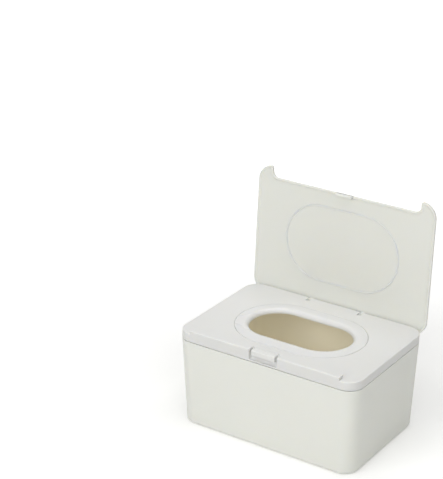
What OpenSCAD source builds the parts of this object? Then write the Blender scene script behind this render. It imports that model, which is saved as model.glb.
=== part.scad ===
// Countertop wet-wipes box with a flip lid, a push button and an oval pull-out opening.
// Millimetres. +Z is up, X runs across the front, the front faces -Y.
// The origin is the centre of the tub's underside. The lid is drawn open, against its stop.

/* [Box] */
// Width of the box across the front
box_w = 190; // [176:1:210]
// Depth of the box from front to back
box_d = 130; // [122:1:145]
// Height of the box up to the flat top face of the cover
box_h = 96; // [80:1:120]
// Plan radius of the upright corners of tub, cover and lid
corner_r = 15; // [13:0.5:20]

/* [Tub] */
// Thickness of the tub's walls
wall = 2.6; // [2.4:0.1:3.2]
// Thickness of the tub's floor
floor_t = 2.6; // [2:0.1:4]
// How far each end wall leans in at the foot
lean_side = 3; // [0.5:0.5:6]
// How far the front and back walls lean in at the foot
lean_front = 3.4; // [0.4:0.2:6]
// Rounding of the edge round the foot
foot_r = 4; // [2:0.5:6]
// Softening of the outer edge of the tub's rim
rim_soft = 0.6; // [0.3:0.1:1]

/* [Cover] */
// Thickness of the cover's top plate
plate_t = 2.4; // [2:0.1:2.8]
// Height from the tub's rim to the cover's top face
cover_h = 8.9; // [8.9:0.1:12]
// Shadow gap between the tub's rim and the cover's skirt
part_gap = 0.8; // [0.5:0.1:0.9]
// Thickness of the cover's outer skirt
skirt_t = 1.2; // [1:0.1:1.4]
// Rounding of the cover's top edge
edge_r = 0.8; // [0.5:0.1:1.5]
// Thickness of the inner skirt that plugs into the tub
plug_t = 1.6; // [1.2:0.1:2.4]
// Depth to which the inner skirt reaches into the tub
plug_depth = 5; // [3:0.5:12]
// Clearance between the inner skirt and the tub
lap_gap = 0.3; // [0.2:0.05:0.5]
// Depth of the groove that holds the seal
groove_h = 0.8; // [0.6:0.1:0.9]

/* [Front bar] */
// Width of the raised bar along the front of the cover
bar_w = 157.6; // [120:0.2:158]
// Depth of the bar from front to back
bar_d = 10.5; // [10:0.1:11.5]
// Height of the bar above the cover's top face
bar_rise = 3.2; // [3:0.1:4]
// Rounding of the bar's front top edge
ridge_r = 1; // [0.5:0.1:1.5]
// Plan radius of the bar's back corners
bar_r = 6; // [3:0.2:7]

/* [Push button] */
// Width of the button's face
button_w = 24.8; // [24:0.2:34]
// Depth of the button's top from front to back
button_d = 6.8; // [6.4:0.1:7]
// Height of the button's face
button_h = 5.2; // [5:0.1:5.6]
// Gap each side of the button
button_gap = 2.4; // [0.5:0.1:2.6]
// Travel of the button, straight down
button_travel = 1.2; // [1:0.1:1.4]
// Height of the finger hollow under the button
hollow_h = 5; // [4.5:0.1:5.2]
// Depth of the finger hollow where it meets the button
hollow_d = 4; // [2:0.1:4.2]
// Thickness of the flange that guides the button
guide_d = 1.4; // [1.2:0.1:1.6]
// Reach of the guide flange past the button's slot at each end
guide_reach = 1.5; // [1:0.1:1.6]
// Depth of the guide flange's top below the bar's top
guide_cap = 0.8; // [0.6:0.1:1]

/* [Latch] */
// Width of the latch slide
slide_w = 24.4; // [22:0.2:24.8]
// Thickness of the latch slide
slide_t = 2; // [1.8:0.1:2.2]
// Distance by which the latch holds the lid's catch
latch_bite = 0.8; // [0.6:0.1:0.9]
// Thickness of the latch slide's crossbar, top to bottom
crossbar_t = 1; // [0.8:0.1:1.2]
// Width of the crossbar, front to back
crossbar_d = 1.6; // [1.2:0.1:2]
// Radius of the latch spring's coil, to the middle of its wire
coil_r = 1; // [0.9:0.05:1.05]
// Radius of the spring's wire
wire_r = 0.2; // [0.15:0.05:0.25]
// Length of the latch springs at rest
spring_l = 6; // [5:0.5:6]
// Number of turns of each latch spring
spring_turns = 6; // [4:1:7]
// Thickness of the tray
tray_t = 3.6; // [3.4:0.1:4.5]
// Distance by which the tray laps the latch's slot at the back
tray_lap = 2.2; // [1.6:0.1:4]
// Radius of the studs that hold the tray
stud_r = 1.4; // [1:0.1:1.5]
// Wall left round the studs in the tray
stud_edge = 1.6; // [1.2:0.1:1.8]
// Thickness of the studs' heads
stud_head = 0.7; // [0.5:0.1:1]
// Reach of the studs' heads past their shafts
stud_lip = 0.8; // [0.5:0.1:1]
// Play between the lid's barb and the latch slide's crossbar
barb_play = 0.25; // [0.15:0.05:0.3]

/* [Opening] */
// Width of the ring insert round the opening
ring_w = 129.4; // [127:0.2:136]
// Depth of the ring insert, front to back
ring_d = 86.8; // [84:0.2:88]
// Clearance round the ring insert
ring_gap = 0.3; // [0.2:0.05:0.4]
// Width of the opening
throat_w = 103.4; // [90:0.2:104]
// Depth of the opening, front to back
throat_d = 56.2; // [44:0.2:57]
// Radius of the rolled lip of the opening
lip_r = 4.3; // [3:0.1:5]
// Wall thickness of the ring insert
ring_t = 1.3; // [1:0.1:1.5]
// Height of the ring's crown above the cover's top face
ring_rise = 1; // [0.6:0.1:1]
// Depth of the seat that the ring insert lies in
seat_t = 1.2; // [0.8:0.1:1.4]
// Height of the ring's flange above the cover's top face
flange_rise = 0.2; // [0.1:0.05:0.3]
// Width of the ring's flange round its crown
flange_w = 0.6; // [0.4:0.1:1]
// Depth of the ring's locating collar below the plate
collar_h = 1; // [0.5:0.1:2]

/* [Lid] */
// Thickness of the lid at its rim
lid_t = 3; // [2.8:0.1:3.5]
// Distance by which the lid stands back from the box at each end
lid_inset = 0.3; // [0:0.1:1]
// Gap between the closed lid and the cover
lid_gap = 0.5; // [0.5:0.05:0.8]
// Gap between the lid's notch and the front bar
notch_gap = 0.4; // [0.3:0.05:0.6]
// Width of the raised rim round the lid's inner face
rim_w = 3; // [2.4:0.1:5]
// Depth of the panel below the rim of the inner face
panel_drop = 0.9; // [0.8:0.1:1.6]
// Rounding of the tips of the lid's horns
horn_r = 2; // [0.5:0.1:2.5]
// Angle by which the open lid leans back past upright
open_lean = 3.5; // [1:0.1:3.5]
// Width of the catch on the lid's front edge
catch_w = 17; // [12:0.5:18]
// Thickness of the catch
catch_t = 1.5; // [1.2:0.1:1.6]
// Height of the catch below the lid's rim
catch_h = 3; // [2.9:0.05:3.1]

/* [Hinge] */
// Distance of each hinge from the middle of the box
hinge_x = 28.3; // [16:0.1:60]
// Distance of the hinge pins in from the back of the box
hinge_back = 4; // [4:0.1:4.5]
// Distance of the hinge pins below the cover's top face
hinge_drop = 4; // [3.8:0.1:4.1]
// Width of the lid's hinge lugs
lug_w = 3.6; // [3:0.2:8]
// Radius of the barrel of the hinge lugs
barrel_r = 2.4; // [2:0.1:2.4]
// Clearance round the hinge lugs in their slots
lug_gap = 0.3; // [0.2:0.05:0.4]
// Thickness of the cheeks each side of a hinge slot
cheek_t = 4.5; // [2.5:0.1:6]
// Wall in front of a hinge slot
slot_wall = 1.8; // [1.2:0.1:3]
// Distance by which the open lid's lugs lie below the cover's top face
lug_sink = 0.5; // [0.4:0.1:0.8]
// Depth to which the lugs are rooted in the lid's panel
lug_root = 0.8; // [0.6:0.1:1]
// Radius of the hinge pins
pin_r = 1; // [0.8:0.05:1.2]
// Running clearance of the hinge lugs on their pins, on the radius
pin_fit = 0.06; // [0.03:0.01:0.1]

/* [Gasket] */
// Width of the oval gasket on the lid's inner face
gasket_w = 120.8; // [112:0.2:124]
// Depth of the oval gasket, front to back
gasket_d = 75; // [70:0.2:78]
// Width of the gasket's bead
bead_w = 1.8; // [1.4:0.1:3]
// Depth of the gasket's root in the lid
root_h = 0.6; // [0.4:0.1:0.8]
// Gap between the closed lid's gasket and the ring insert
press_gap = 0.25; // [0.2:0.05:0.4]

/* [Hidden] */
$fn = 96;

// Facets round the circles that a hull joins
hull_fn = 40;
// Overlap of a cutter past the face that it cuts
cut = 1;
// Hairline clearance between parts that touch without moving
touch = 0.05;
// Sliding clearance between moving parts
slip = 0.1;
// Clearance between parts that must never touch
free = 0.3;
// Clearance of a pressed-in pin, on the radius
press = 0.01;
// Height of the upright band at the tub's rim
rim_h = 2;

// Levels of the tub and cover
tub_top = box_h - cover_h;
skirt_z = tub_top + part_gap;
under_z = box_h - plate_t;
front_y = -box_d / 2;
back_y = box_d / 2;
plug_lean = max(lean_side, lean_front) * plug_depth / (tub_top - foot_r);
plug_in = wall + lap_gap + plug_lean;
groove_z = skirt_z + groove_h;

// Hinge axis, parallel to X
axis_y = back_y - hinge_back;
axis_z = box_h - hinge_drop;
open_turn = 90 + open_lean;

// Front bar and button
bar_y = front_y + bar_d;
bar_z = box_h + bar_rise;
slot_w = button_w + 2 * button_gap;
head_z = bar_z - button_h;
head_y = front_y + button_d;
guide_w = slot_w + 2 * guide_reach;
guide_top = bar_z - guide_cap;
sink_z = head_z - button_travel - free;

// Latch slide, which lies on the tray under the plate
slide_z = under_z + slip;
slide_top = slide_z + slide_t;
catch_y = bar_y + notch_gap;
catch_z = box_h + lid_gap - catch_h;
bite_z = slide_top - crossbar_t;
crossbar_y = catch_y + catch_t + free;
slide_back = crossbar_y + crossbar_d;
slot_back = slide_back + button_travel + free;
wedge_run = slide_top + free - head_z;
window_w = catch_w + 4 * free;
window_y = catch_y - button_travel - free;
arm_x = (slide_w + window_w) / 4;

// Latch springs lie along Y in troughs of the tray
coil_z = under_z - coil_r - wire_r - touch;
lug_y = slot_back - spring_l - 1;
foot_t = 1;
foot_w = 2 * (coil_r + wire_r);
tray_z = under_z - tray_t;
tray_front = front_y + plug_in + plug_t;
tray_back = slot_back + tray_lap;
stud_x = guide_w / 2 + free + stud_edge + stud_r;
tray_w = 2 * (stud_x + stud_r + stud_edge);
stud_y = [tray_front + stud_r + stud_edge, tray_back - stud_r - stud_edge];

// Opening
throat_l = (throat_w - throat_d) / 2;
crown_z = box_h + ring_rise;
lip_s = throat_d / 2 + lip_r;
seat_z = box_h - seat_t;
hole_s = lip_s + lip_r + 2 * slip;
apron_s = min(ring_d / 2, ring_w / 2 - throat_l) - flange_w;
apron_z = box_h + flange_rise;

// Lid, in its closed place
lid_z = box_h + lid_gap;
panel_z = lid_z + panel_drop;
lid_top = lid_z + lid_t;
lid_w = box_w - 2 * lid_inset;
notch_w = bar_w + 2 * notch_gap;
notch_r = bar_r + notch_gap;

// Cove in the lid round which the cover's back edge passes as the lid turns, and half its length
back_reach = norm([hinge_back - edge_r, hinge_drop - edge_r]) + edge_r;
cove_r = back_reach + free;
cove_fall = hinge_back - edge_r - sqrt(pow(hinge_drop + lid_gap - edge_r, 2) - pow(hinge_drop - edge_r, 2));
cove_x = box_w / 2 - corner_r + sqrt(pow(corner_r, 2) - pow(corner_r - cove_fall, 2));

// Gasket: the bead's tip stops short of the ring's crown, which falls away outwards
gasket_s = gasket_d / 2;
crown_at_bead = crown_z - (crown_z - apron_z) * (gasket_s - bead_w / 2 - lip_s) / (apron_s - lip_s);
bead_z = crown_at_bead + press_gap;

// Hinge pockets
pocket_w = lug_w + 2 * lug_gap;
lug_front = hinge_drop - lug_sink;
lug_back = 0.75 * barrel_r;
lug_foot = lug_front / 3;
pocket_y = axis_y - lug_front - lug_gap;
pocket_z = axis_z - barrel_r - lug_gap;
cheek_w = pocket_w + 2 * cheek_t;

white = [0.886, 0.890, 0.866];
bright = [0.910, 0.912, 0.895];
silicone = [0.86, 0.85, 0.80];
steel = [0.62, 0.63, 0.64];

// Upright slab on the box's plan, drawn in by a wall thickness
module plan_slab(inset, z_low, z_high) {
    r = corner_r - inset;
    w = box_w - 2 * inset;
    d = box_d - 2 * inset;
    translate([0, 0, z_low]) {
        translate([-w / 2 + r, -d / 2, 0]) cube([w - 2 * r, d, z_high - z_low]);
        translate([-w / 2, -d / 2 + r, 0]) cube([w, d - 2 * r, z_high - z_low]);
        for (sx = [-1, 1], sy = [-1, 1])
            translate([sx * (w / 2 - r), sy * (d / 2 - r), 0]) cylinder(r = r, h = z_high - z_low);
    }
}

// Half section of a slab whose top edge is rounded
module edge_section(half, height, round_r) {
    square([half - round_r, height]);
    square([half, height - round_r]);
    translate([half - round_r, height - round_r]) circle(r = round_r);
}

// Slab on the box's plan with its top edge rounded all round
module soft_slab(z_low, z_high) {
    h = z_high - z_low;
    translate([0, 0, z_low]) {
        for (m = [0, 1]) mirror([0, m, 0])
            translate([-box_w / 2 + corner_r, 0, 0]) rotate([90, 0, 90])
                linear_extrude(box_w - 2 * corner_r) edge_section(box_d / 2, h, edge_r);
        for (m = [0, 1]) mirror([m, 0, 0])
            translate([0, box_d / 2 - corner_r, 0]) rotate([90, 0, 0])
                linear_extrude(box_d - 2 * corner_r) edge_section(box_w / 2, h, edge_r);
        for (sx = [-1, 1], sy = [-1, 1])
            translate([sx * (box_w / 2 - corner_r), sy * (box_d / 2 - corner_r), 0])
                rotate_extrude() edge_section(corner_r, h, edge_r);
    }
}

// Upright stadium, width along X
module stadium(w, d, z_low, z_high) {
    translate([0, 0, z_low]) {
        translate([-(w - d) / 2, -d / 2, 0]) cube([w - d, d, z_high - z_low]);
        for (s = [-1, 1]) translate([s * (w - d) / 2, 0, 0]) cylinder(d = d, h = z_high - z_low);
    }
}

// Sweeps a section, drawn as distance outward and height, round a stadium's core line
module oval_sweep(core) {
    for (m = [0, 1]) mirror([m, 0, 0])
        translate([core, 0, 0]) rotate([0, 0, -90]) rotate_extrude(angle = 180) children();
    for (m = [0, 1]) mirror([0, m, 0])
        translate([-core, 0, 0]) rotate([90, 0, 90]) linear_extrude(2 * core) children();
}

// Puck with a rounded foot, one corner of the tub
module foot_puck(r, z, round_r) {
    translate([0, 0, z]) rotate_extrude($fn = hull_fn) {
        square([r - round_r, 2 * round_r]);
        translate([0, round_r]) square([r, round_r]);
        translate([r - round_r, round_r]) circle(r = round_r, $fn = hull_fn);
    }
}

// Shell of the tub: feet drawn in, rim at the box's full size
module tub_form(inset, z_low, z_high, round_r, soft) {
    r = corner_r - inset;
    foot_x = box_w / 2 - lean_side - inset - r;
    foot_y = box_d / 2 - lean_front - inset - r;
    rim_x = box_w / 2 - inset - r;
    rim_y = box_d / 2 - inset - r;
    hull() for (sx = [-1, 1], sy = [-1, 1]) {
        translate([sx * foot_x, sy * foot_y, 0]) foot_puck(r, z_low, round_r);
        translate([sx * rim_x, sy * rim_y, z_high - rim_h])
            cylinder(r = r, h = rim_h - soft, $fn = hull_fn);
        translate([sx * rim_x, sy * rim_y, z_high - rim_h / 2])
            cylinder(r = r - soft, h = rim_h / 2, $fn = hull_fn);
    }
}

module tub() {
    inner_r = max(1.5, foot_r - wall);
    color(white) difference() {
        tub_form(0, 0, tub_top, foot_r, rim_soft);
        tub_form(wall, floor_t, tub_top + cut, inner_r, 0);
    }
}

// Raised bar along the front, with a rounded ridge and rounded back corners
module front_bar() {
    intersection() {
        translate([-bar_w / 2, front_y, skirt_z]) rotate([90, 0, 90]) linear_extrude(bar_w) {
            translate([ridge_r, 0]) square([bar_d - ridge_r, bar_z - skirt_z]);
            square([bar_d, bar_z - skirt_z - ridge_r]);
            translate([ridge_r, bar_z - skirt_z - ridge_r]) circle(r = ridge_r);
        }
        translate([0, 0, skirt_z]) linear_extrude(bar_z) {
            translate([-bar_w / 2 + bar_r, front_y]) square([bar_w - 2 * bar_r, bar_d]);
            translate([-bar_w / 2, front_y]) square([bar_w, bar_d - bar_r]);
            for (s = [-1, 1]) translate([s * (bar_w / 2 - bar_r), bar_y - bar_r]) circle(r = bar_r);
        }
    }
}

// Everything that the button and the latch slide need cut out of the cover
module latch_cuts() {
    hollow_z = head_z - hollow_h;
    // finger hollow, a cove that is deepest under the button
    translate([-slot_w / 2, front_y, 0]) rotate([90, 0, 90]) linear_extrude(slot_w)
        polygon([[-cut, head_z], [-cut, hollow_z],
                 for (a = [0:15:90]) [hollow_d * sin(a), sink_z - (sink_z - hollow_z) * cos(a)],
                 [hollow_d, head_z]]);
    // shaft of the button
    translate([-slot_w / 2, front_y - cut, sink_z])
        cube([slot_w, button_d + free + cut, bar_z - sink_z + cut]);
    // grooves that guide the button's flange and stop it flush with the bar
    translate([-guide_w / 2 - free, head_y - guide_d - free, sink_z])
        cube([guide_w + 2 * free, guide_d + 2 * free, guide_top + slip - sink_z]);
    // way of the latch slide under the bar, open behind the bar
    translate([-slide_w / 2 - free, head_y - wedge_run - free, under_z - cut])
        cube([slide_w + 2 * free, slot_back - head_y + wedge_run + free, slide_top + slip - under_z + cut]);
    translate([-slide_w / 2 - free, bar_y, under_z - cut])
        cube([slide_w + 2 * free, slot_back - bar_y, plate_t + 2 * cut]);
}

// Cheeks under the plate that carry one hinge pin
module hinge_block(x) {
    front = pocket_y - slot_wall;
    translate([x - cheek_w / 2, front, skirt_z])
        cube([cheek_w, back_y - edge_r - front, under_z - skirt_z + plate_t / 2]);
}

module hinge_cuts(x) {
    translate([x - pocket_w / 2, pocket_y, pocket_z])
        cube([pocket_w, back_y - pocket_y + cut, box_h - pocket_z + cut]);
    translate([x - cheek_w / 2 - cut, axis_y, axis_z]) rotate([0, 90, 0])
        cylinder(r = pin_r + press, h = cheek_w + 2 * cut);
}

// Studs under the plate whose heads hold the latch tray
module tray_studs() {
    for (sx = [-1, 1], y = stud_y) translate([sx * stud_x, y, 0]) {
        translate([0, 0, tray_z - touch]) cylinder(r = stud_r, h = under_z - tray_z + plate_t / 2);
        translate([0, 0, tray_z - touch - stud_head]) cylinder(r = stud_r + stud_lip, h = stud_head);
    }
}

module cover() {
    color(white) difference() {
        union() {
            difference() {
                union() {
                    soft_slab(skirt_z, box_h);
                    plan_slab(plug_in, tub_top - plug_depth, under_z);
                }
                plan_slab(plug_in + plug_t, tub_top - plug_depth - cut, under_z);
            }
            front_bar_trimmed();
            for (s = [-1, 1]) hinge_block(s * hinge_x);
            tray_studs();
        }
        latch_cuts();
        for (s = [-1, 1]) hinge_cuts(s * hinge_x);
        seal_groove();
        stadium(ring_w + 2 * ring_gap, ring_d + 2 * ring_gap, seat_z, box_h + cut);
        stadium(2 * (throat_l + hole_s), 2 * hole_s, under_z - cut, box_h);
    }
}

// The bar stands on the cover's front edge and leaves the room under the plate free
module front_bar_trimmed() {
    difference() {
        front_bar();
        translate([-box_w / 2, tray_front, skirt_z - cut])
            cube([box_w, bar_d, under_z - skirt_z + cut]);
    }
}

// Groove between the two skirts that holds the seal
module seal_groove() {
    difference() {
        plan_slab(skirt_t, skirt_z - cut, groove_z);
        plan_slab(plug_in, skirt_z - 2 * cut, groove_z + cut);
    }
}

module cover_seal() {
    color(silicone) difference() {
        plan_slab(skirt_t + slip, tub_top, groove_z - touch);
        plan_slab(wall - slip, tub_top - cut, groove_z + cut);
    }
}

// Section of the ring insert: rolled lip, then a crown that falls to the flange
module ring_section() {
    intersection() {
        translate([lip_s, crown_z - lip_r]) difference() {
            circle(r = lip_r);
            circle(r = lip_r - ring_t);
        }
        translate([lip_s - lip_r - cut, crown_z - lip_r]) square([lip_r + cut, lip_r + cut]);
    }
    polygon([[lip_s, crown_z - ring_t], [apron_s, seat_z], [apron_s, apron_z], [lip_s, crown_z]]);
    translate([hole_s - free - ring_t, under_z - collar_h])
        square([ring_t, seat_z - under_z + collar_h + seat_t / 2]);
}

module opening_ring() {
    color(bright) {
        oval_sweep(throat_l) ring_section();
        difference() {
            stadium(ring_w, ring_d, seat_z, apron_z);
            stadium(2 * (throat_l + apron_s - flange_w), 2 * (apron_s - flange_w), seat_z - cut,
                    apron_z + cut);
        }
    }
}

// Plan of the lid: rounded corners, with a notch that goes round the front bar
module lid_plan(inset) {
    r = corner_r - inset;
    x = lid_w / 2 - inset;
    y = box_d / 2 - inset;
    difference() {
        union() {
            square([2 * (x - r), 2 * y], center = true);
            square([2 * x, 2 * (y - r)], center = true);
            for (sx = [-1, 1], sy = [-1, 1]) translate([sx * (x - r), sy * (y - r)]) circle(r = r);
        }
        notch_cut(inset);
    }
}

// The notch, with rounded inner corners and softened horn tips
module notch_cut(inset) {
    w = notch_w + 2 * inset;
    y = catch_y + inset;
    r = notch_r + inset;
    translate([-w / 2 + r, front_y - cut]) square([w - 2 * r, y - front_y + cut]);
    translate([-w / 2, front_y - cut]) square([w, y - r - front_y + cut]);
    for (s = [-1, 1]) translate([s * (w / 2 - r), y - r]) circle(r = r);
    for (s = [-1, 1]) translate([s * (w / 2 + horn_r / 2), front_y + inset + horn_r / 2])
        difference() {
            translate([-horn_r / 2 - (s < 0 ? 0 : cut), -horn_r / 2 - cut])
                square([horn_r + cut, horn_r + cut]);
            translate([s * horn_r / 2, horn_r / 2]) circle(r = horn_r);
        }
}

// Lug that carries the lid on its pin; its round front clears the pocket as the lid turns
module hinge_lug(x) {
    translate([x - lug_w / 2, axis_y, axis_z]) rotate([90, 0, 90]) linear_extrude(lug_w) {
        circle(r = barrel_r);
        intersection() {
            circle(r = lug_front);
            translate([-lug_front, 0]) square(lug_front);
        }
        translate([-lug_front, lug_foot])
            square([lug_front + lug_back, panel_z + lug_root - axis_z - lug_foot]);
        square([lug_back, lug_front]);
    }
}

// Catch at the middle of the lid's front edge, with a barb that the latch slide holds
module lid_catch() {
    barb_z = bite_z - barb_play;
    translate([-catch_w / 2, catch_y, catch_z]) rotate([90, 0, 90]) linear_extrude(catch_w)
        polygon([[0, 0], [catch_t, 0], [catch_t + free + latch_bite, free],
                 [catch_t + free + latch_bite, barb_z - catch_z], [catch_t, barb_z - catch_z],
                 [catch_t, panel_z - catch_z + touch], [0, panel_z - catch_z + touch]]);
}

// Flat of the lid, with its raised rim
module lid_plate() {
    translate([0, 0, panel_z]) linear_extrude(lid_top - panel_z) lid_plan(0);
    translate([0, 0, lid_z]) linear_extrude(lid_top - lid_z) difference() {
        lid_plan(0);
        lid_plan(rim_w);
    }
}

module closed_lid() {
    difference() {
        union() {
            difference() {
                lid_plate();
                translate([-cove_x, axis_y, axis_z]) rotate([0, 90, 0])
                    cylinder(r = cove_r, h = 2 * cove_x);
            }
            for (s = [-1, 1]) hinge_lug(s * hinge_x);
            lid_catch();
        }
        for (s = [-1, 1]) translate([s * hinge_x - lug_w, axis_y, axis_z]) rotate([0, 90, 0])
            cylinder(r = pin_r + pin_fit, h = 2 * lug_w);
        difference() {
            stadium(gasket_w + bead_w, gasket_d + bead_w, panel_z - cut, panel_z + root_h);
            stadium(gasket_w - bead_w, gasket_d - bead_w, panel_z - 2 * cut, panel_z + root_h + cut);
        }
    }
}

// Turns what is drawn closed about the hinge axis to the open place
module opened() {
    translate([0, axis_y, axis_z]) rotate([-open_turn, 0, 0]) translate([0, -axis_y, -axis_z])
        children();
}

module lid() {
    color(white) opened() closed_lid();
}

// Silicone bead with a round nose, rooted in the lid's panel
module lid_gasket() {
    nose_r = bead_w / 2 - touch;
    core = (gasket_w - gasket_d) / 2;
    color(silicone) opened() oval_sweep(core) intersection() {
        union() {
            translate([gasket_s, bead_z + nose_r]) circle(r = nose_r);
            translate([gasket_s - nose_r, bead_z + nose_r])
                square([2 * nose_r, max(touch, panel_z + root_h - touch - bead_z - nose_r)]);
        }
        translate([gasket_s - nose_r, bead_z]) square([2 * nose_r, panel_z + root_h - touch - bead_z]);
    }
}

// Button: a face flush with the bar, a guide flange, and a wedge along its lower back edge
module push_button() {
    color(bright) intersection() {
        union() {
            translate([-button_w / 2, front_y, head_z]) rotate([90, 0, 90]) linear_extrude(button_w) {
                translate([ridge_r, 0]) square([button_d - ridge_r, button_h]);
                square([button_d, button_h - ridge_r]);
                translate([ridge_r, button_h - ridge_r]) circle(r = ridge_r);
            }
            translate([-guide_w / 2, head_y - guide_d, head_z])
                cube([guide_w, guide_d, guide_top - head_z]);
        }
        translate([-guide_w, front_y, head_z]) rotate([90, 0, 90]) linear_extrude(2 * guide_w)
            polygon([[-cut, -cut], [button_d - wedge_run, -cut], [button_d - wedge_run, 0],
                     [button_d, wedge_run], [button_d, button_h + cut], [-cut, button_h + cut]]);
    }
}

// Latch slide: a frame round the lid's catch, wedge in front, crossbar behind
module latch_slide() {
    wedge_y = head_y - wedge_run + (slide_z - head_z) + slip * 1.5;
    color(bright) difference() {
        union() {
            translate([-slide_w / 2, 0, 0]) rotate([90, 0, 90]) linear_extrude(slide_w)
                polygon([[wedge_y, slide_z], [slide_back, slide_z], [slide_back, slide_top],
                         [wedge_y + slide_t, slide_top]]);
            for (s = [-1, 1]) translate([s * arm_x - foot_w / 2, lug_y - foot_t, coil_z - coil_r])
                cube([foot_w, foot_t, slide_z - coil_z + coil_r + touch]);
        }
        translate([-window_w / 2, window_y, slide_z - cut])
            cube([window_w, crossbar_y - window_y, slide_t + 2 * cut]);
        translate([-window_w / 2, crossbar_y - cut, slide_z - cut])
            cube([window_w, crossbar_d + 2 * cut, bite_z - slide_z + cut]);
    }
}

// Point on the centre line of a latch spring, from its front end at t = 0 to its back end at t = 1
function coil_point(t) = let(turn = 360 * spring_turns * t)
    [coil_r * cos(turn), wire_r + t * (spring_l - 2 * wire_r), coil_r * sin(turn)];
coil_steps = 8 * spring_turns;
coil_sides = 6;
// Ring of the wire's skin, square to the coil's circle
function wire_ring(i) = let(t = i / coil_steps, turn = 360 * spring_turns * t, p = coil_point(t),
                            out = [cos(turn), 0, sin(turn)])
    [for (k = [0:coil_sides - 1]) let(a = 360 * k / coil_sides)
        p + wire_r * (cos(a) * out + sin(a) * [0, 1, 0])];
coil_points = [for (i = [0:coil_steps]) each wire_ring(i)];
coil_faces = concat(
    [[for (k = [0:coil_sides - 1]) k]],
    [for (i = [0:coil_steps - 1], k = [0:coil_sides - 1]) let(a = i * coil_sides + k,
        b = i * coil_sides + (k + 1) % coil_sides) [a, a + coil_sides, b]],
    [for (i = [0:coil_steps - 1], k = [0:coil_sides - 1]) let(a = i * coil_sides + k,
        b = i * coil_sides + (k + 1) % coil_sides) [b, a + coil_sides, b + coil_sides]],
    [[for (k = [coil_sides - 1:-1:0]) coil_steps * coil_sides + k]]);
coil_gap = (spring_l - 2 * wire_r) / spring_turns - 2 * wire_r;
echo(least_gap_between_spring_turns = coil_gap);

module latch_springs() {
    color(steel) for (s = [-1, 1]) translate([s * arm_x, lug_y, coil_z])
        polyhedron(points = coil_points, faces = coil_faces, convexity = 10);
}

// Tray under the plate: carries the slide and its springs, and keeps the wipes' damp out
module latch_tray() {
    trough = coil_r + wire_r + slip;
    color(white) difference() {
        translate([-tray_w / 2, tray_front + touch, tray_z])
            cube([tray_w, tray_back - tray_front - touch, tray_t - press]);
        // room for the button's foot when it is pressed
        translate([-guide_w / 2 - free, tray_front - cut, sink_z])
            cube([guide_w + 2 * free, head_y + free - tray_front + cut, tray_t]);
        // troughs of the springs and of the slide's feet
        for (s = [-1, 1])
            translate([s * arm_x - trough, lug_y - foot_t - free, coil_z - trough])
                cube([2 * trough, spring_l + foot_t + free + touch, tray_t]);
        // room for the lid's catch
        translate([-window_w / 2, catch_y - notch_gap, catch_z - free])
            cube([window_w, slide_back - catch_y + notch_gap, tray_t]);
        for (sx = [-1, 1], y = stud_y) translate([sx * stud_x, y, tray_z - cut])
            cylinder(r = stud_r + slip, h = tray_t + 2 * cut);
    }
}

// Plain steel pin through one pair of cheeks
module hinge_pin(x) {
    color(steel) translate([x - cheek_w / 2, axis_y, axis_z]) rotate([0, 90, 0])
        cylinder(r = pin_r, h = cheek_w);
}

module hinge_pin_left() {
    hinge_pin(-hinge_x);
}

module hinge_pin_right() {
    hinge_pin(hinge_x);
}

tub();
cover();
cover_seal();
opening_ring();
lid();
lid_gasket();
push_button();
latch_slide();
latch_springs();
latch_tray();
hinge_pin_left();
hinge_pin_right();
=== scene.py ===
from math import atan2, cos, degrees, pi, radians, sin

import bmesh
import bpy
from mathutils import Matrix, Vector


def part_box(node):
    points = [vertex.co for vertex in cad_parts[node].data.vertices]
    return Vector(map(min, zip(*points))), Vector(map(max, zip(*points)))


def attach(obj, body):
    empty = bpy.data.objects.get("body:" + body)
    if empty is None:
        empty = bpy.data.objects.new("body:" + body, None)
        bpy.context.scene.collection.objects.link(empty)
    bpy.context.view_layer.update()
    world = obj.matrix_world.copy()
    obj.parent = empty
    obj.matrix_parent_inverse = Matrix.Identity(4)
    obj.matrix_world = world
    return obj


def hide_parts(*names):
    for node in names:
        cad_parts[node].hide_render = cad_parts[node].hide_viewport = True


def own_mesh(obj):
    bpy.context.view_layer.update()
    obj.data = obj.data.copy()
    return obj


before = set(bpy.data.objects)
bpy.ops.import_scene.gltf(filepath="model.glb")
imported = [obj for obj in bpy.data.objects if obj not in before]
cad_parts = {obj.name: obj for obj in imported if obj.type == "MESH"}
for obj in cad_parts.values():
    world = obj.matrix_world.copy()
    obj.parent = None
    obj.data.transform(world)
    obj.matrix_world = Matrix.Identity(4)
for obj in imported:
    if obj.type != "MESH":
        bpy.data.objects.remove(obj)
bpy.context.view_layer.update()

# ---------------------------------------------------------------- sizes, in metres
MM = 0.001
TUB_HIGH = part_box("tub")[1]
COVER_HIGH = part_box("cover")[1]
RING_LOW, RING_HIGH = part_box("opening_ring")
SEAL_LOW, SEAL_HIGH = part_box("cover_seal")
SPRINGS_LOW, SPRINGS_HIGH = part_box("latch_springs")

# Tub
CORNER_R = 15 * MM  # upright corners of the whole box
LEAN_SIDE = 3 * MM  # how far the end walls lean in at the foot
LEAN_FRONT = 3.4 * MM  # how far the front and back walls lean in at the foot
WALL = 2.6 * MM
FOOT_R = 4 * MM
STAND_W = 7 * MM  # flat band round the underside that the tub stands on
STEP_W = 1 * MM  # soft step from that band up to the panel inside it
RECESS = 0.7 * MM  # depth of that panel
RIM_OUT_R, RIM_IN_R = 0.6 * MM, 0.4 * MM  # outer and inner edge of the rim
FILLET_R = 3 * MM  # where the inside walls meet the floor
UNDER_INSET, FLOOR_INSET = 60 * MM, 45 * MM  # innermost rows of the underside and of the floor

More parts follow.
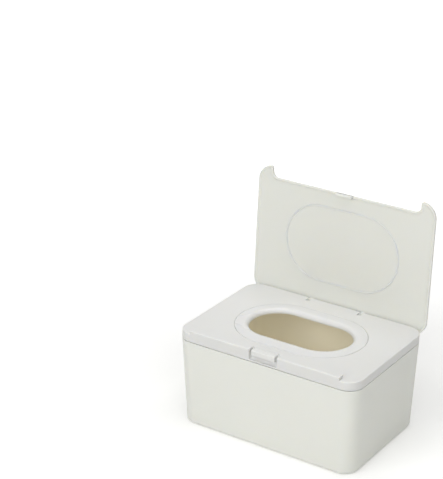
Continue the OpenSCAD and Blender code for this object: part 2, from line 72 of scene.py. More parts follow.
# Opening ring
LIP_R = 4.3 * MM  # rolled lip of the opening
RING_T = 1.3 * MM
THROAT_W, THROAT_D = 103.4 * MM, 56.2 * MM
FLANGE_W = 0.6 * MM
FLANGE_EDGE = 0.2 * MM
SEAT_Z, FLANGE_Z = 94.8 * MM, 96.2 * MM  # underside and top of the flange
COLLAR_OUT_Z, COLLAR_IN_Z = 95.2 * MM, 95.3 * MM  # where the collar leaves the ring
COLLAR_EDGE = 0.3 * MM

# Lid, heights with the lid shut
LID_HALF_W = 94.7 * MM
RIM_Z, PANEL_Z = 96.5 * MM, 97.4 * MM
HAND_EDGE, FOOT_EDGE = 0.9 * MM, 0.45 * MM  # roundness of the edge outside and inside
SLOPE_START, SLOPE_END = 1.2 * MM, 3.2 * MM  # inset of the slope from rim to panel
HORN_R = 2 * MM  # tips of the lid's two horns
NOTCH_HALF, NOTCH_Y, NOTCH_R = 79.2 * MM, -54.1 * MM, 6.4 * MM  # the notch between them
COVE_R, COVE_X = 5.63 * MM, 86.2 * MM  # hollow along the lid's hinge edge
LUG_X, LUG_HALF = 28.3, 1.81  # hinge lugs, in millimetres, with a hair to spare
LUG_LOW, LUG_HIGH = (57.49, 88), (63.45, 98)  # their Y and Z, in millimetres
CATCH_LOW, CATCH_HIGH = (-8.51, -54.11, 93), (8.51, -51.45, 97.9)  # in millimetres
BEAD_R = 0.85 * MM  # nose of the gasket's bead

# Seal, springs and pins
SEAL_HALF = 0.6 * MM
COIL_R, WIRE_R = 1 * MM, 0.2 * MM  # middle of the wire's circle, and the wire
SPRING_TURNS = 6.0
PIN_R, PIN_CHAMFER = 1 * MM, 0.3 * MM
WELD = 0.002 * MM  # reach within which a CAD mesh's loose corners are joined

# The line that the lid turns about, and the turn from shut to open
HINGE_Y, HINGE_Z = 61 * MM, 92 * MM
OPEN_TURN = radians(93.5)
PIN_LINE = Matrix.Translation((0, HINGE_Y, HINGE_Z))
OPEN = PIN_LINE @ Matrix.Rotation(-OPEN_TURN, 4, "X") @ PIN_LINE.inverted()


# ---------------------------------------------------------------- materials
def linear(code):
    """An sRGB hex colour as the linear colour that shaders read."""
    channels = [int(code[i:i + 2], 16) / 255 for i in (1, 3, 5)]
    return [c / 12.92 if c <= 0.04045 else ((c + 0.055) / 1.055) ** 2.4 for c in channels] + [1]


def add(tree, kind, settings=None, *first, **named):
    """Adds a node, sets its properties, and gives its first inputs and the named ones a value or a
    link. A name is the input's own without its spaces."""
    node = tree.nodes.new(kind)
    for name, value in (settings or {}).items():
        setattr(node, name, value)
    given = list(zip(node.inputs, first))
    given += [(next(s for s in node.inputs if s.name.replace(" ", "") == name and s.enabled), value)
              for name, value in named.items()]
    for socket, value in given:
        if isinstance(value, bpy.types.NodeSocket):
            tree.links.new(value, socket)
        else:
            socket.default_value = value
    return node


def blank_material(name):
    """A material with an empty tree."""
    material = bpy.data.materials.new(name)
    material.use_nodes = True
    material.node_tree.nodes.clear()
    return material, material.node_tree


def moulded_plastic(name, colour, shade, rough, grain_mm, grain_depth_mm, soft_light, painted_glow=0.0):
    """Injection-moulded thermoplastic: a colour that drifts a little with the melt's flow, and a
    fine spark-eroded grain from the mould. A real grain is under 0.1 mm across; grain_mm is coarser,
    so that it shows. soft_light is how much light wanders under the skin, and painted_glow is a
    faint
    glow in the shade colour: painted light that stands in for light a thin wall lets through to its
    inner side."""
    material, tree = blank_material(name)
    place = add(tree, "ShaderNodeTexCoord").outputs["Object"]
    flow = add(tree, "ShaderNodeTexNoise", Vector=place, Scale=1 / (60 * MM), Detail=2.0,
               Roughness=0.45)
    tint = add(tree, "ShaderNodeMix", {"data_type": "RGBA"}, Factor=flow.outputs["Fac"],
               A=linear(colour), B=linear(shade))
    mixed = next(s for s in tint.outputs if s.enabled)
    grain = add(tree, "ShaderNodeTexNoise", Vector=place, Scale=1 / (grain_mm * MM), Detail=3.0,
                Roughness=0.6)
    bump = add(tree, "ShaderNodeBump", Strength=1.0, Distance=grain_depth_mm * MM,
               Height=grain.outputs["Fac"])
    drift = add(tree, "ShaderNodeMapRange", Value=flow.outputs["Fac"], ToMin=rough - 0.03,
                ToMax=rough + 0.03)
    # Emission in the shade colour is a painted glow, standing in for light let through a thin wall
    shader = add(tree, "ShaderNodeBsdfPrincipled", BaseColor=mixed,
                 Roughness=drift.outputs["Result"], IOR=1.49, SubsurfaceWeight=soft_light,
                 SubsurfaceScale=2.5 * MM, SubsurfaceRadius=(1.0, 0.9, 0.7),
                 Normal=bump.outputs["Normal"], EmissionColor=linear(shade), EmissionStrength=painted_glow)
    add(tree, "ShaderNodeOutputMaterial", Surface=shader.outputs["BSDF"])
    return material


def drawn_steel(name, colour, rough, streak_mm):
    """Drawn or ground stainless steel: bright, with lines round or along it. Real lines are some
    0.01 mm apart; streak_mm is coarser, so that they show."""
    material, tree = blank_material(name)
    place = add(tree, "ShaderNodeTexCoord").outputs["Object"]
    stretched = add(tree, "ShaderNodeMapping", Vector=place, Scale=(1, 12, 12))
    lines = add(tree, "ShaderNodeTexNoise", Vector=stretched.outputs["Vector"],
                Scale=1 / (streak_mm * MM), Detail=2.0)
    spread = add(tree, "ShaderNodeMapRange", Value=lines.outputs["Fac"], ToMin=rough - 0.08,
                 ToMax=rough + 0.1)
    shader = add(tree, "ShaderNodeBsdfPrincipled", BaseColor=linear(colour), Metallic=1.0,
                 Roughness=spread.outputs["Result"])
    add(tree, "ShaderNodeOutputMaterial", Surface=shader.outputs["BSDF"])
    return material


# Polypropylene, satin from a spark-eroded mould: reads as a warm, dry white that never glints
TUB_PLASTIC = moulded_plastic("satin_polypropylene_tub", "#ECEDE7", "#E9EAE3", 0.46, 0.55, 0.012,
                              0.3)
# The same plastic inside, painted a bright straw tone with a faint painted glow: painted light that
# stands in for light passed through the walls and bounced about inside
TUB_INSIDE = moulded_plastic("bare_polypropylene_inside", "#F9F4E3", "#F7EFD9", 0.42, 0.9, 0.006,
                             0.15, 0.065)
# Polypropylene from a finer mould, with a soft sheen; its cooler, greyer white than the tub's is
# painted light, standing in for the cooler light that falls on the top
COVER_PLASTIC = moulded_plastic("fine_polypropylene_cover", "#E4E4E2", "#E2E2DF", 0.38, 0.45, 0.007,
                                0.4)
# Thin polypropylene: slightly greyer and greener, because some light goes through it
LID_PLASTIC = moulded_plastic("thin_polypropylene_lid", "#E9EAE4", "#E6E7E0", 0.40, 0.5, 0.009, 0.4)
# Polished polypropylene round the opening, where the wipes slide over it: a clear soft highlight
RING_PLASTIC = moulded_plastic("polished_polypropylene_ring", "#E5E5E4", "#E3E3E1", 0.27, 0.4, 0.004,
                               0.4)
# Acetal of the button: dense, as white as the cover, with a slightly waxy sheen
BUTTON_PLASTIC = moulded_plastic("acetal_button", "#E6E6E4", "#E4E4E1", 0.33, 0.4, 0.005, 0.1)
# Acetal of the hidden latch parts: a plain cream white, as it comes from the mould
LATCH_PLASTIC = moulded_plastic("acetal_latch", "#E4E3DB", "#E0DFD6", 0.36, 0.5, 0.006, 0.1)
# Silicone of the seal, matt and painted grey: painted shadow, so that the parting line reads as a
# fine dark shadow line
SEAL_PAINTED_SHADOW = moulded_plastic("moulded_silicone_seal", "#7C7A73", "#77756D", 0.58, 0.7, 0.008, 0.1)
# Silicone of the gasket: milky, matt, and soft enough that light sinks in
GASKET_SILICONE = moulded_plastic("moulded_silicone_gasket", "#F1F2EC", "#EEEFE8", 0.5, 0.6, 0.006,
                                  0.9)
# Drawn wire of the springs: a bright grey whose highlight is broken by the lines along it
SPRING_STEEL = drawn_steel("drawn_spring_steel", "#B9BCC0", 0.28, 0.35)
# Ground rod of the hinge pins: smoother, with a sharper highlight
PIN_STEEL = drawn_steel("ground_stainless_steel", "#C9CBCE", 0.24, 0.5)


# ---------------------------------------------------------------- mesh helpers
def as_object(name, mesh, *materials):
    """An object in the scene with this mesh and these materials."""
    for material in materials:
        mesh.materials.append(material)
    thing = bpy.data.objects.new(name, mesh)
    bpy.context.scene.collection.objects.link(thing)
    return thing


def smooth(mesh, crease_degrees):
    """Smooth shading that breaks at creases sharper than this."""
    mesh.shade_smooth()
    mesh.set_sharp_from_angle(angle=radians(crease_degrees))


def settle(thing):
    """Turns a thing with modifiers into a plain mesh."""
    graph = bpy.context.evaluated_depsgraph_get()
    mesh = bpy.data.meshes.new_from_object(thing.evaluated_get(graph), depsgraph=graph)
    thing.modifiers.clear()
    thing.data = mesh
    return thing


def arc(cx, cy, r, start, end, steps):
    """Points of an arc in a section, angles in degrees."""
    turns = [radians(start + (end - start) * i / steps) for i in range(steps + 1)]
    return [(cx + r * cos(a), cy + r * sin(a)) for a in turns]


def rounded_outline(half_w, half_d, r, z, steps):
    """Points round a rectangle with round corners at height z, anticlockwise from the right side."""
    points = []
    for corner in range(4):
        x = (half_w - r) * (1 if corner in (0, 3) else -1)
        y = (half_d - r) * (1 if corner in (0, 1) else -1)
        for i in range(steps + 1):
            a = pi / 2 * (corner + i / steps)
            points.append(Vector((x + r * cos(a), y + r * sin(a), z)))
    return points


def oval(core, r, z, steps=40):
    """Points round a stadium at height z: half circles about points core to the left and right."""
    points = []
    for side, start in ((1, -pi / 2), (-1, pi / 2)):
        for i in range(steps + 1):
            a = start + pi * i / steps
            points.append(Vector((side * core + r * cos(a), r * sin(a), z)))
    return points


def hinge_circle(x, r, steps):
    """Points of a circle about the line that the lid turns about, at x."""
    turns = [2 * pi * i / steps for i in range(steps)]
    return [Vector((x, HINGE_Y + r * cos(a), HINGE_Z + r * sin(a))) for a in turns]


def loft(name, outlines, hoop=False):
    """A closed shell through outlines of as many points each. Its two ends are closed flat, or in a
    hoop the last outline joins the first."""
    build = bmesh.new()
    rows = [[build.verts.new(p) for p in outline] for outline in outlines]
    for low, high in zip(rows, rows[1:] + rows[:1] if hoop else rows[1:]):
        for i in range(len(low)):
            j = (i + 1) % len(low)
            build.faces.new((low[i], low[j], high[j], high[i]))
    if not hoop:
        build.faces.new(reversed(rows[0]))
        build.faces.new(rows[-1])
    bmesh.ops.recalc_face_normals(build, faces=build.faces)
    mesh = bpy.data.meshes.new(name)
    build.to_mesh(mesh)
    build.free()
    return mesh


def refined(node, name, material, edge_mm):
    """A CAD node's form with clean flat faces, and sharp edges softened as a mould leaves them."""
    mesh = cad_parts[node].data.copy()
    mesh.name = name
    mesh.materials.clear()
    build = bmesh.new()
    build.from_mesh(mesh)
    bmesh.ops.remove_doubles(build, verts=build.verts, dist=WELD)
    bmesh.ops.dissolve_limit(build, angle_limit=radians(0.4), verts=build.verts, edges=build.edges)
    weight = build.edges.layers.float.new("bevel_weight_edge")
    for edge in build.edges:
        if edge.calc_face_angle(0) > radians(40):
            edge[weight] = 1.0
    build.to_mesh(mesh)
    build.free()
    thing = as_object(name, mesh, material)
    soften = thing.modifiers.new("edge softening", "BEVEL")
    soften.width = edge_mm * MM
    soften.segments = 3
    soften.limit_method = "WEIGHT"
    soften.use_clamp_overlap = True
    thing.modifiers.new("even normals", "WEIGHTED_NORMAL").keep_sharp = True
    smooth(mesh, 40)
    return settle(thing)


def dress(thing, body, slot, *nodes):
    """The piece rides on its body and stands for its CAD nodes, which it hides. slot is not used."""
    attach(thing, body)
    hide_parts(*nodes)
    return thing


# ---------------------------------------------------------------- forms by Geometry Nodes
def new_tree(name, start, sizes, counts=()):
    """A tree whose inputs are a start mesh, named sizes and counts, and a material."""
    tree = bpy.data.node_groups.new(name, "GeometryNodeTree")
    inputs = [(start, "Geometry")] + [(size, "Float") for size in sizes]
    inputs += [(count, "Int") for count in counts] + [("Material", "Material")]
    for label, kind in inputs:
        tree.interface.new_socket(label, in_out="INPUT", socket_type="NodeSocket" + kind)
    tree.interface.new_socket("Geometry", in_out="OUTPUT", socket_type="NodeSocketGeometry")
    return tree, tree.nodes.new("NodeGroupInput").outputs


def end_tree(tree, geometry, material):
    """Ends a tree with real geometry in its material."""
    real = add(tree, "GeometryNodeRealizeInstances", Geometry=geometry)
    coated = add(tree, "GeometryNodeSetMaterial", Geometry=real.outputs["Geometry"],
                 Material=material)
    add(tree, "NodeGroupOutput", Geometry=coated.outputs["Geometry"])
    return tree


def sweep_tree():
    """Carries a section round a rectangle whose corners are rounded, which is a stadium where the
    radius is half the depth. The section comes in as a polyline: X is outward, Y is up."""
    tree, given = new_tree("sweep round an oval", "Section", ("Width", "Depth", "Radius", "Height"),
                           ("Corner steps",))
    path = add(tree, "GeometryNodeCurvePrimitiveQuadrilateral", Width=given["Width"],
               Height=given["Depth"])
    rounded = add(tree, "GeometryNodeFilletCurve", {"mode": "POLY"}, Curve=path.outputs["Curve"],
                  Radius=given["Radius"], Count=given["Corner steps"])
    level = add(tree, "ShaderNodeCombineXYZ", Z=given["Height"])
    raised = add(tree, "GeometryNodeSetPosition", Geometry=rounded.outputs["Curve"],
                 Offset=level.outputs["Vector"])
    upright = add(tree, "GeometryNodeSetCurveNormal", {"mode": "Z_UP"},
                  Curve=raised.outputs["Geometry"])
    section = add(tree, "GeometryNodeMeshToCurve", Mesh=given["Section"])
    swept = add(tree, "GeometryNodeCurveToMesh", Curve=upright.outputs["Curve"],
                ProfileCurve=section.outputs["Curve"])
    return end_tree(tree, swept.outputs["Mesh"], given["Material"])


def spring_tree():
    """A round wire wound into a coil that lies along +Y from each point of the start mesh."""
    tree, given = new_tree("springs on their seats", "Seats",
                           ("Turns", "Coil radius", "Length", "Wire radius"))
    coil = add(tree, "GeometryNodeCurveSpiral", Resolution=24, Rotations=given["Turns"],
               StartRadius=given["Coil radius"], EndRadius=given["Coil radius"],
               Height=given["Length"])
    wire = add(tree, "GeometryNodeCurvePrimitiveCircle", Resolution=10, Radius=given["Wire radius"])
    swept = add(tree, "GeometryNodeCurveToMesh", Curve=coil.outputs["Curve"],
                ProfileCurve=wire.outputs["Curve"], FillCaps=True)
    lying = add(tree, "GeometryNodeTransform", Geometry=swept.outputs["Mesh"],
                Rotation=(-pi / 2, 0, 0))
    seats = add(tree, "GeometryNodeMeshToPoints", Mesh=given["Seats"])
    placed = add(tree, "GeometryNodeInstanceOnPoints", Points=seats.outputs["Points"],
                 Instance=lying.outputs["Geometry"])
    return end_tree(tree, placed.outputs["Instances"], given["Material"])


def from_tree(name, tree, start, **values):
    """A plain, closed mesh made by a tree from a start mesh, with its named inputs set."""
    thing = bpy.data.objects.new(name, start)
    bpy.context.scene.collection.objects.link(thing)
    grow = thing.modifiers.new("form", "NODES")
    grow.node_group = tree
    sockets = {item.name.replace(" ", "_").lower(): item.identifier
               for item in tree.interface.items_tree
               if item.item_type == "SOCKET" and item.in_out == "INPUT"}
    for key, value in values.items():
        grow[sockets[key]] = value
    mesh = settle(thing).data
    build = bmesh.new()
    build.from_mesh(mesh)
    bmesh.ops.remove_doubles(build, verts=build.verts, dist=WELD / 2)
    bmesh.ops.recalc_face_normals(build, faces=build.faces)
    build.to_mesh(mesh)
    build.free()
    return thing


def section_mesh(name, half, top, nose_z, steps):
    """Section of a bead with upright sides and a round nose below, as a mesh of edges: X is outward
    from the path, Y is up."""
    nose = arc(0, nose_z, half, 0, -180, steps)[1:]
    points = [(half, top), (half, nose_z)] + nose + [(-half, top)]
    mesh = bpy.data.meshes.new(name)
    count = len(points)
    mesh.from_pydata([(x, -y, 0) for x, y in points], [(i, (i + 1) % count) for i in range(count)],
                     [])
    return mesh


SWEEP = sweep_tree()
SPRINGS = spring_tree()


# ---------------------------------------------------------------- pieces
def tub():
    """The box: leaning walls, a rounded foot, a recessed underside, a soft rim and a filleted
    inside."""
    half_w, half_d, top = TUB_HIGH.x, TUB_HIGH.y, TUB_HIGH.z
    steps = 16

    def outline(inward, z, lean_z=None):
        share = 1 - max(0.0, (z if lean_z is None else lean_z) - FOOT_R) / (top - FOOT_R)
        return rounded_outline(half_w - LEAN_SIDE * share - inward,
                               half_d - LEAN_FRONT * share - inward,
                               max(CORNER_R - inward, 0.5 * MM), z, steps)

    band = FOOT_R + STAND_W
    rows = [outline(UNDER_INSET, RECESS, 0), outline(band + 1.2 * STEP_W, RECESS, 0)]
    rows += [outline(band + (0.5 + 0.5 * cos(pi * t / 4)) * STEP_W, RECESS * (1 - t / 4), 0)
             for t in range(5)]
    rows += [outline(FOOT_R * (1 - sin(radians(a))), FOOT_R * (1 - cos(radians(a))), 0)
             for a in range(0, 91, 9)]
    rows += [outline(0, top * share) for share in (0.1, 0.25, 0.5, 0.75, 0.95)]
    rows += [outline(RIM_OUT_R * (1 - cos(radians(a))), top - RIM_OUT_R * (1 - sin(radians(a))))
             for a in range(0, 91, 15)]
    rows += [outline(WALL - RIM_IN_R * (1 - sin(radians(90 - a))),
                     top - RIM_IN_R * (1 - cos(radians(90 - a)))) for a in range(0, 91, 15)]
    rim_rows = len(rows)
    rows += [outline(WALL, top * share) for share in (0.95, 0.75, 0.5, 0.25, 0.12)]
    rows += [outline(WALL + FILLET_R * (1 - cos(radians(a))),
                     WALL + FILLET_R * (1 - sin(radians(a))), 0) for a in range(0, 91, 10)]
    rows += [outline(FLOOR_INSET, WALL, 0)]
    mesh = loft("tub_shell", rows)
    thing = as_object("tub_shell", mesh, TUB_PLASTIC, TUB_INSIDE)
    side = 4 * (steps + 1)
    underside = len(mesh.polygons) - 2
    # Faces inside take the inside material, whose straw tone and faint glow are painted light
    for face in mesh.polygons:
        inside = face.index >= side * rim_rows and face.index != underside
        face.material_index = 1 if inside else 0
    smooth(mesh, 50)
    return dress(thing, "tub", "tub_plastic", "tub")


def opening_ring():
    """Oval insert: a rolled lip, a crown that falls away to a flat flange, and a collar
    underneath."""
    crown_z, half_d = RING_HIGH.z, RING_HIGH.y
    core, outer_core = (THROAT_W - THROAT_D) / 2, RING_HIGH.x - RING_HIGH.y
    lip = THROAT_D / 2 + LIP_R
    foot = RING_HIGH.x - core - FLANGE_W
    collar = lip + LIP_R - 0.1 * MM
    low = crown_z - LIP_R
    rows = [oval(core, s, z) for s, z in arc(lip, low, LIP_R, 180, 92, 16)]
    rows += [oval(core, lip + (foot - lip) * t, crown_z - (crown_z - FLANGE_Z) * t ** 1.3)
             for t in (0.05, 0.15, 0.3, 0.45, 0.6, 0.75, 0.9, 1)]
    rows += [oval(outer_core, half_d - FLANGE_EDGE + s, FLANGE_Z - FLANGE_EDGE + z)
             for s, z in arc(0, 0, FLANGE_EDGE, 90, 0, 3)]
    rows += [oval(outer_core, half_d, SEAT_Z), oval(core, foot, SEAT_Z)]
    rows += [oval(core, s, z) for s, z in (
        (collar, COLLAR_OUT_Z), (collar, RING_LOW.z + COLLAR_EDGE),
        (collar - COLLAR_EDGE, RING_LOW.z), (collar - RING_T, RING_LOW.z),
        (collar - RING_T, COLLAR_IN_Z), (lip, crown_z - RING_T))]
    rows += [oval(core, s, z) for s, z in arc(lip, low, LIP_R - RING_T, 92, 180, 12)]
    mesh = loft("opening_ring_insert", rows, hoop=True)
    smooth(mesh, 35)
    thing = as_object("opening_ring_insert", mesh, RING_PLASTIC)
    return dress(thing, "cover", "ring_plastic", "opening_ring")


def shut_box(node):
    """Lowest and highest corner of one of the lid's CAD nodes with the lid turned shut."""
    points = [OPEN.inverted() @ v.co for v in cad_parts[node].data.vertices]
    return (Vector([min(p[i] for p in points) for i in range(3)]),
            Vector([max(p[i] for p in points) for i in range(3)]))


def lid_outline(inset, z):
    """Points round the lid's plan, drawn in by inset, at height z with the lid shut: round corners,
    and the notch that goes round the cover's front bar between two horns."""
    corner_x, corner_y = LID_HALF_W - CORNER_R, COVER_HIGH.y - CORNER_R
    r, side, notch_r = CORNER_R - inset, NOTCH_HALF + inset, NOTCH_R + inset
    tip_r = HORN_R - 0.4 * inset
    tip_x = side + tip_r
    tip_y = -corner_y - ((r - tip_r) ** 2 - (tip_x - corner_x) ** 2) ** 0.5
    tip_turn = degrees(atan2(-corner_y - tip_y, tip_x - corner_x))
    left = arc(-corner_x, corner_y, r, 90, 180, 14)
    left += arc(-corner_x, -corner_y, r, 180, 180 + tip_turn, 14)
    left += arc(-tip_x, tip_y, tip_r, 180 + tip_turn, 360, 8)
    left += arc(notch_r - side, NOTCH_Y + inset - notch_r, notch_r, 180, 90, 12)
    right = [(-x, y) for x, y in reversed(left)]
    return [Vector((x, y, z)) for x, y in left + right]


def carve(thing, outlines, operation):
    """Cuts a thing by a closed form through outlines, or keeps what lies inside that form."""
    tool = as_object("carver", loft("carver", outlines))
    step = thing.modifiers.new("carving", "BOOLEAN")
    step.operation, step.object, step.solver = operation, tool, "EXACT"
    settle(thing)
    bpy.data.objects.remove(tool)
    return thing


def lid_fitting(name, low, high):
    """A lug or the catch as the CAD has it, cut out of the shut lid by a block between two corners
    in millimetres."""
    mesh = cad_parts["lid"].data.copy()
    mesh.transform(OPEN.inverted())
    mesh.materials.clear()
    thing = as_object(name, mesh, LID_PLASTIC)
    build = bmesh.new()
    build.from_mesh(mesh)
    bmesh.ops.remove_doubles(build, verts=build.verts, dist=WELD)
    build.to_mesh(mesh)
    build.free()
    (x0, y0, z0), (x1, y1, z1) = low, high
    block = [[Vector((x * MM, y * MM, z * MM)) for x, y in ((x0, y0), (x1, y0), (x1, y1), (x0, y1))]
             for z in (z0, z1)]
    return carve(thing, block, "INTERSECT")


def flip_lid():
    """The lid: broadly rounded where the hand meets it, a rim that slopes softly down to the panel,
    and a cove at the back round which the cover's edge passes. Made shut, then turned open."""
    top_z = shut_box("lid")[1].z
    rows = [lid_outline(HAND_EDGE - x, top_z - HAND_EDGE + z)
            for x, z in arc(0, 0, HAND_EDGE, 90, 0, 6)]
    rows += [lid_outline(FOOT_EDGE - x, RIM_Z + FOOT_EDGE + z)
             for x, z in arc(0, 0, FOOT_EDGE, 0, -90, 4)]
    slope_steps = 8
    for i in range(slope_steps + 1):
        ease = (1 - cos(pi * i / slope_steps)) / 2
        rows.append(lid_outline(SLOPE_START + (SLOPE_END - SLOPE_START) * i / slope_steps,
                                RIM_Z + (PANEL_Z - RIM_Z) * ease))
    thing = as_object("flip_lid", loft("flip_lid", rows), LID_PLASTIC)
    carve(thing, [hinge_circle(x, COVE_R, 96) for x in (-COVE_X, COVE_X)], "DIFFERENCE")
    fittings = [lid_fitting("lug", (side * LUG_X - LUG_HALF, *LUG_LOW),
                            (side * LUG_X + LUG_HALF, *LUG_HIGH)) for side in (-1, 1)]
    fittings.append(lid_fitting("catch", CATCH_LOW, CATCH_HIGH))
    build = bmesh.new()
    for part in [thing] + fittings:
        build.from_mesh(part.data)
    for part in fittings:
        bpy.data.objects.remove(part)
    build.to_mesh(thing.data)
    build.free()
    smooth(thing.data, 35)
    thing.modifiers.new("even normals", "WEIGHTED_NORMAL").keep_sharp = True
    settle(thing)
    thing.data.transform(OPEN)
    return dress(thing, "lid", "lid_plastic", "lid")


def lid_gasket():
    """Silicone bead with a round nose, rooted in the lid: made with the lid shut, then turned
    open."""
    low, high = shut_box("lid_gasket")
    section = section_mesh("bead section", BEAD_R, high.z, low.z + BEAD_R, 14)
    depth = high.y - low.y - 2 * BEAD_R
    # A hair less than half the depth, so that the arcs of two corners don't end in one point
    thing = from_tree("lid_gasket_bead", SWEEP, section, width=high.x - low.x - 2 * BEAD_R,
                      depth=depth, radius=depth / 2 * 0.99999, height=0.0, corner_steps=36,
                      material=GASKET_SILICONE)
    thing.data.transform(OPEN)
    smooth(thing.data, 50)
    return dress(thing, "lid", "gasket_silicone", "lid_gasket")


def cover_seal():
    """Silicone ring between tub and cover, with a rounded lip on the tub's rim."""
    path_w, path_d = SEAL_HIGH.x - SEAL_HALF, SEAL_HIGH.y - SEAL_HALF
    section = section_mesh("seal section", SEAL_HALF, SEAL_HIGH.z, SEAL_LOW.z + SEAL_HALF, 10)
    # The seal's grey is painted shadow in the parting line
    thing = from_tree("cover_seal_ring", SWEEP, section, width=2 * path_w, depth=2 * path_d,
                      radius=CORNER_R - (TUB_HIGH.x - path_w), height=0.0, corner_steps=14,
                      material=SEAL_PAINTED_SHADOW)
    smooth(thing.data, 50)
    return dress(thing, "cover", "seal_silicone", "cover_seal")


def latch_springs():
    """Two coil springs that lie side by side behind the latch slide; in the real box they shorten as
    it goes back, here they keep one length.
    """
    x = SPRINGS_HIGH.x - COIL_R - WIRE_R
    z = (SPRINGS_LOW.z + SPRINGS_HIGH.z) / 2
    seats = bpy.data.meshes.new("spring seats")
    seats.from_pydata([(side * x, SPRINGS_LOW.y + WIRE_R, z) for side in (-1, 1)], [], [])
    thing = from_tree("latch_spring_pair", SPRINGS, seats, turns=SPRING_TURNS, coil_radius=COIL_R,
                      length=SPRINGS_HIGH.y - SPRINGS_LOW.y - 2 * WIRE_R, wire_radius=WIRE_R,
                      material=SPRING_STEEL)
    smooth(thing.data, 60)
    dress(thing, "cover", "spring_steel", "latch_springs")
    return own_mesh(thing)


def hinge_pin(node):
    """Steel pin with chamfered ends."""
    low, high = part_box(node)
    profile = [(low.x, PIN_R - PIN_CHAMFER), (low.x + PIN_CHAMFER, PIN_R),
               (high.x - PIN_CHAMFER, PIN_R), (high.x, PIN_R - PIN_CHAMFER)]
    mesh = loft(node, [hinge_circle(x, r, 32) for x, r in profile])
    smooth(mesh, 30)
    return dress(as_object(node + "_rod", mesh, PIN_STEEL), "cover", "pin_steel", node)


tub()
opening_ring()
flip_lid()
lid_gasket()
cover_seal()
latch_springs()
for pin in ("hinge_pin_left", "hinge_pin_right"):
    hinge_pin(pin)
# CAD node, name, material, softened edge in millimetres, body, slot
for row in (("cover", "cover_shell", COVER_PLASTIC, 0.25, "cover", "cover_plastic"),
            ("push_button", "button_cap", BUTTON_PLASTIC, 0.3, "button", "button_plastic"),
            ("latch_slide", "latch_frame", LATCH_PLASTIC, 0.12, "latch", "latch_plastic"),
            ("latch_tray", "latch_carrier", LATCH_PLASTIC, 0.2, "cover", "latch_plastic")):
    dress(refined(*row[:4]), *row[4:], row[0])


# ---------------------------------------------------------------- studio
FLOOR_COLOUR = "#F2F2F0"
FLOOR_HALF = 6  # half the floor's side
GLOW_NEAR, GLOW_FAR = (0.15, 0.24), (0.9, 1.0)  # distance from the middle, and the glow there
WORLD_LIGHT = 0.17  # strength of the surroundings where they light the object
AIM = Vector((0, 0, 0.06))
# Name, place, size and watts
LAMPS = (("key", (-0.35, -1.15, 0.85), 0.9, 6.5),
         ("front", (0.726, -1.077, 0.85), 0.9, 5.4),
         ("side", (1.35, -0.3, 0.6), 0.9, 1.3),
         ("top", (0.0, 0.1, 1.5), 1.2, 10.6))


def backdrop_rays(tree):
    """1 for rays from the camera, from glossy surfaces and through clear ones, and otherwise 0."""
    ray = add(tree, "ShaderNodeLightPath").outputs
    seen = ray["Is Camera Ray"]
    for kind in ("Is Glossy Ray", "Is Transmission Ray"):
        seen = add(tree, "ShaderNodeMath", {"operation": "MAXIMUM"}, seen, ray[kind]).outputs[0]
    return seen


def floor():
    """White floor that keeps a soft shadow near the object and is pure white farther off."""
    material, tree = blank_material("studio_floor")
    dull = add(tree, "ShaderNodeBsdfDiffuse", Color=linear(FLOOR_COLOUR))
    place = add(tree, "ShaderNodeTexCoord").outputs["Object"]
    away = add(tree, "ShaderNodeVectorMath", {"operation": "LENGTH"}, Vector=place)
    level = add(tree, "ShaderNodeMapRange", Value=away.outputs["Value"], FromMin=GLOW_NEAR[0],
                FromMax=GLOW_FAR[0], ToMin=GLOW_NEAR[1], ToMax=GLOW_FAR[1])
    lift = add(tree, "ShaderNodeMath", {"operation": "MULTIPLY"}, backdrop_rays(tree),
               level.outputs["Result"])
    glow = add(tree, "ShaderNodeEmission", Color=(1, 1, 1, 1), Strength=lift.outputs[0])
    both = add(tree, "ShaderNodeAddShader", None, dull.outputs[0], glow.outputs[0])
    add(tree, "ShaderNodeOutputMaterial", Surface=both.outputs[0])
    build = bmesh.new()
    bmesh.ops.create_grid(build, x_segments=2, y_segments=2, size=FLOOR_HALF)
    mesh = bpy.data.meshes.new("floor")
    build.to_mesh(mesh)
    build.free()
    as_object("floor", mesh, material)


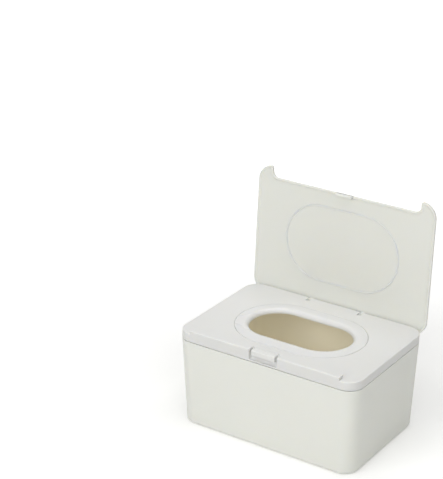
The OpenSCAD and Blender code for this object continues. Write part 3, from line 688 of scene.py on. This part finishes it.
def surroundings():
    """White to the eye and in reflections, and a faint even light on the object."""
    world = bpy.data.worlds.new("studio")
    world.use_nodes = True
    bpy.context.scene.world = world
    tree = world.node_tree
    tree.nodes.clear()
    level = add(tree, "ShaderNodeMapRange", Value=backdrop_rays(tree), ToMin=WORLD_LIGHT, ToMax=1.0)
    sky = add(tree, "ShaderNodeBackground", Color=(1, 1, 1, 1), Strength=level.outputs["Result"])
    add(tree, "ShaderNodeOutputWorld", Surface=sky.outputs["Background"])


def lamps():
    """Wide soft lamps, all turned to the object's middle."""
    for name, place, size, watts in LAMPS:
        lamp = bpy.data.lights.new(name, "AREA")
        lamp.shape = "SQUARE"
        lamp.size = size
        lamp.energy = watts
        holder = bpy.data.objects.new(name, lamp)
        bpy.context.scene.collection.objects.link(holder)
        holder.location = place
        holder.rotation_euler = (AIM - Vector(place)).to_track_quat("-Z", "Y").to_euler()


# The photographed view, in degrees and millimetres: direction, the point that the places are
# counted from, the way from there to the lens, and the focal length in pixels of the tall side
AZIMUTH, ELEVATION, ROLL = 33.987, 23.394, 0.374
VIEW_MIDDLE = Vector((0, 0, 42.75))
VIEW_BACK, VIEW_LEFT, VIEW_UP = 1503.513, 73.613, 131.856
FOCAL_PIXELS, TALL_SIDE = 1607.494, 479
SENSOR = 36


def camera():
    """The photographed view: a long lens from the front right, above."""
    azimuth, elevation, roll = radians(AZIMUTH), radians(ELEVATION), radians(ROLL)
    back = Vector((sin(azimuth) * cos(elevation), -cos(azimuth) * cos(elevation), sin(elevation)))
    right = Vector((cos(azimuth), sin(azimuth), 0))
    up = back.cross(right)
    place = VIEW_MIDDLE * MM + (back * VIEW_BACK - right * VIEW_LEFT + up * VIEW_UP) * MM
    across = cos(roll) * right + sin(roll) * up
    along = cos(roll) * up - sin(roll) * right
    view = bpy.data.cameras.new("camera")
    view.sensor_width = SENSOR
    view.lens = FOCAL_PIXELS * SENSOR / TALL_SIDE
    view.clip_start, view.clip_end = 0.05, 50
    holder = bpy.data.objects.new("camera", view)
    bpy.context.scene.collection.objects.link(holder)
    turn = Matrix((across, along, back)).transposed().to_4x4()
    holder.matrix_world = Matrix.Translation(place) @ turn
    bpy.context.scene.camera = holder


floor()
surroundings()
lamps()
camera()
bpy.context.scene.view_settings.view_transform = "Standard"
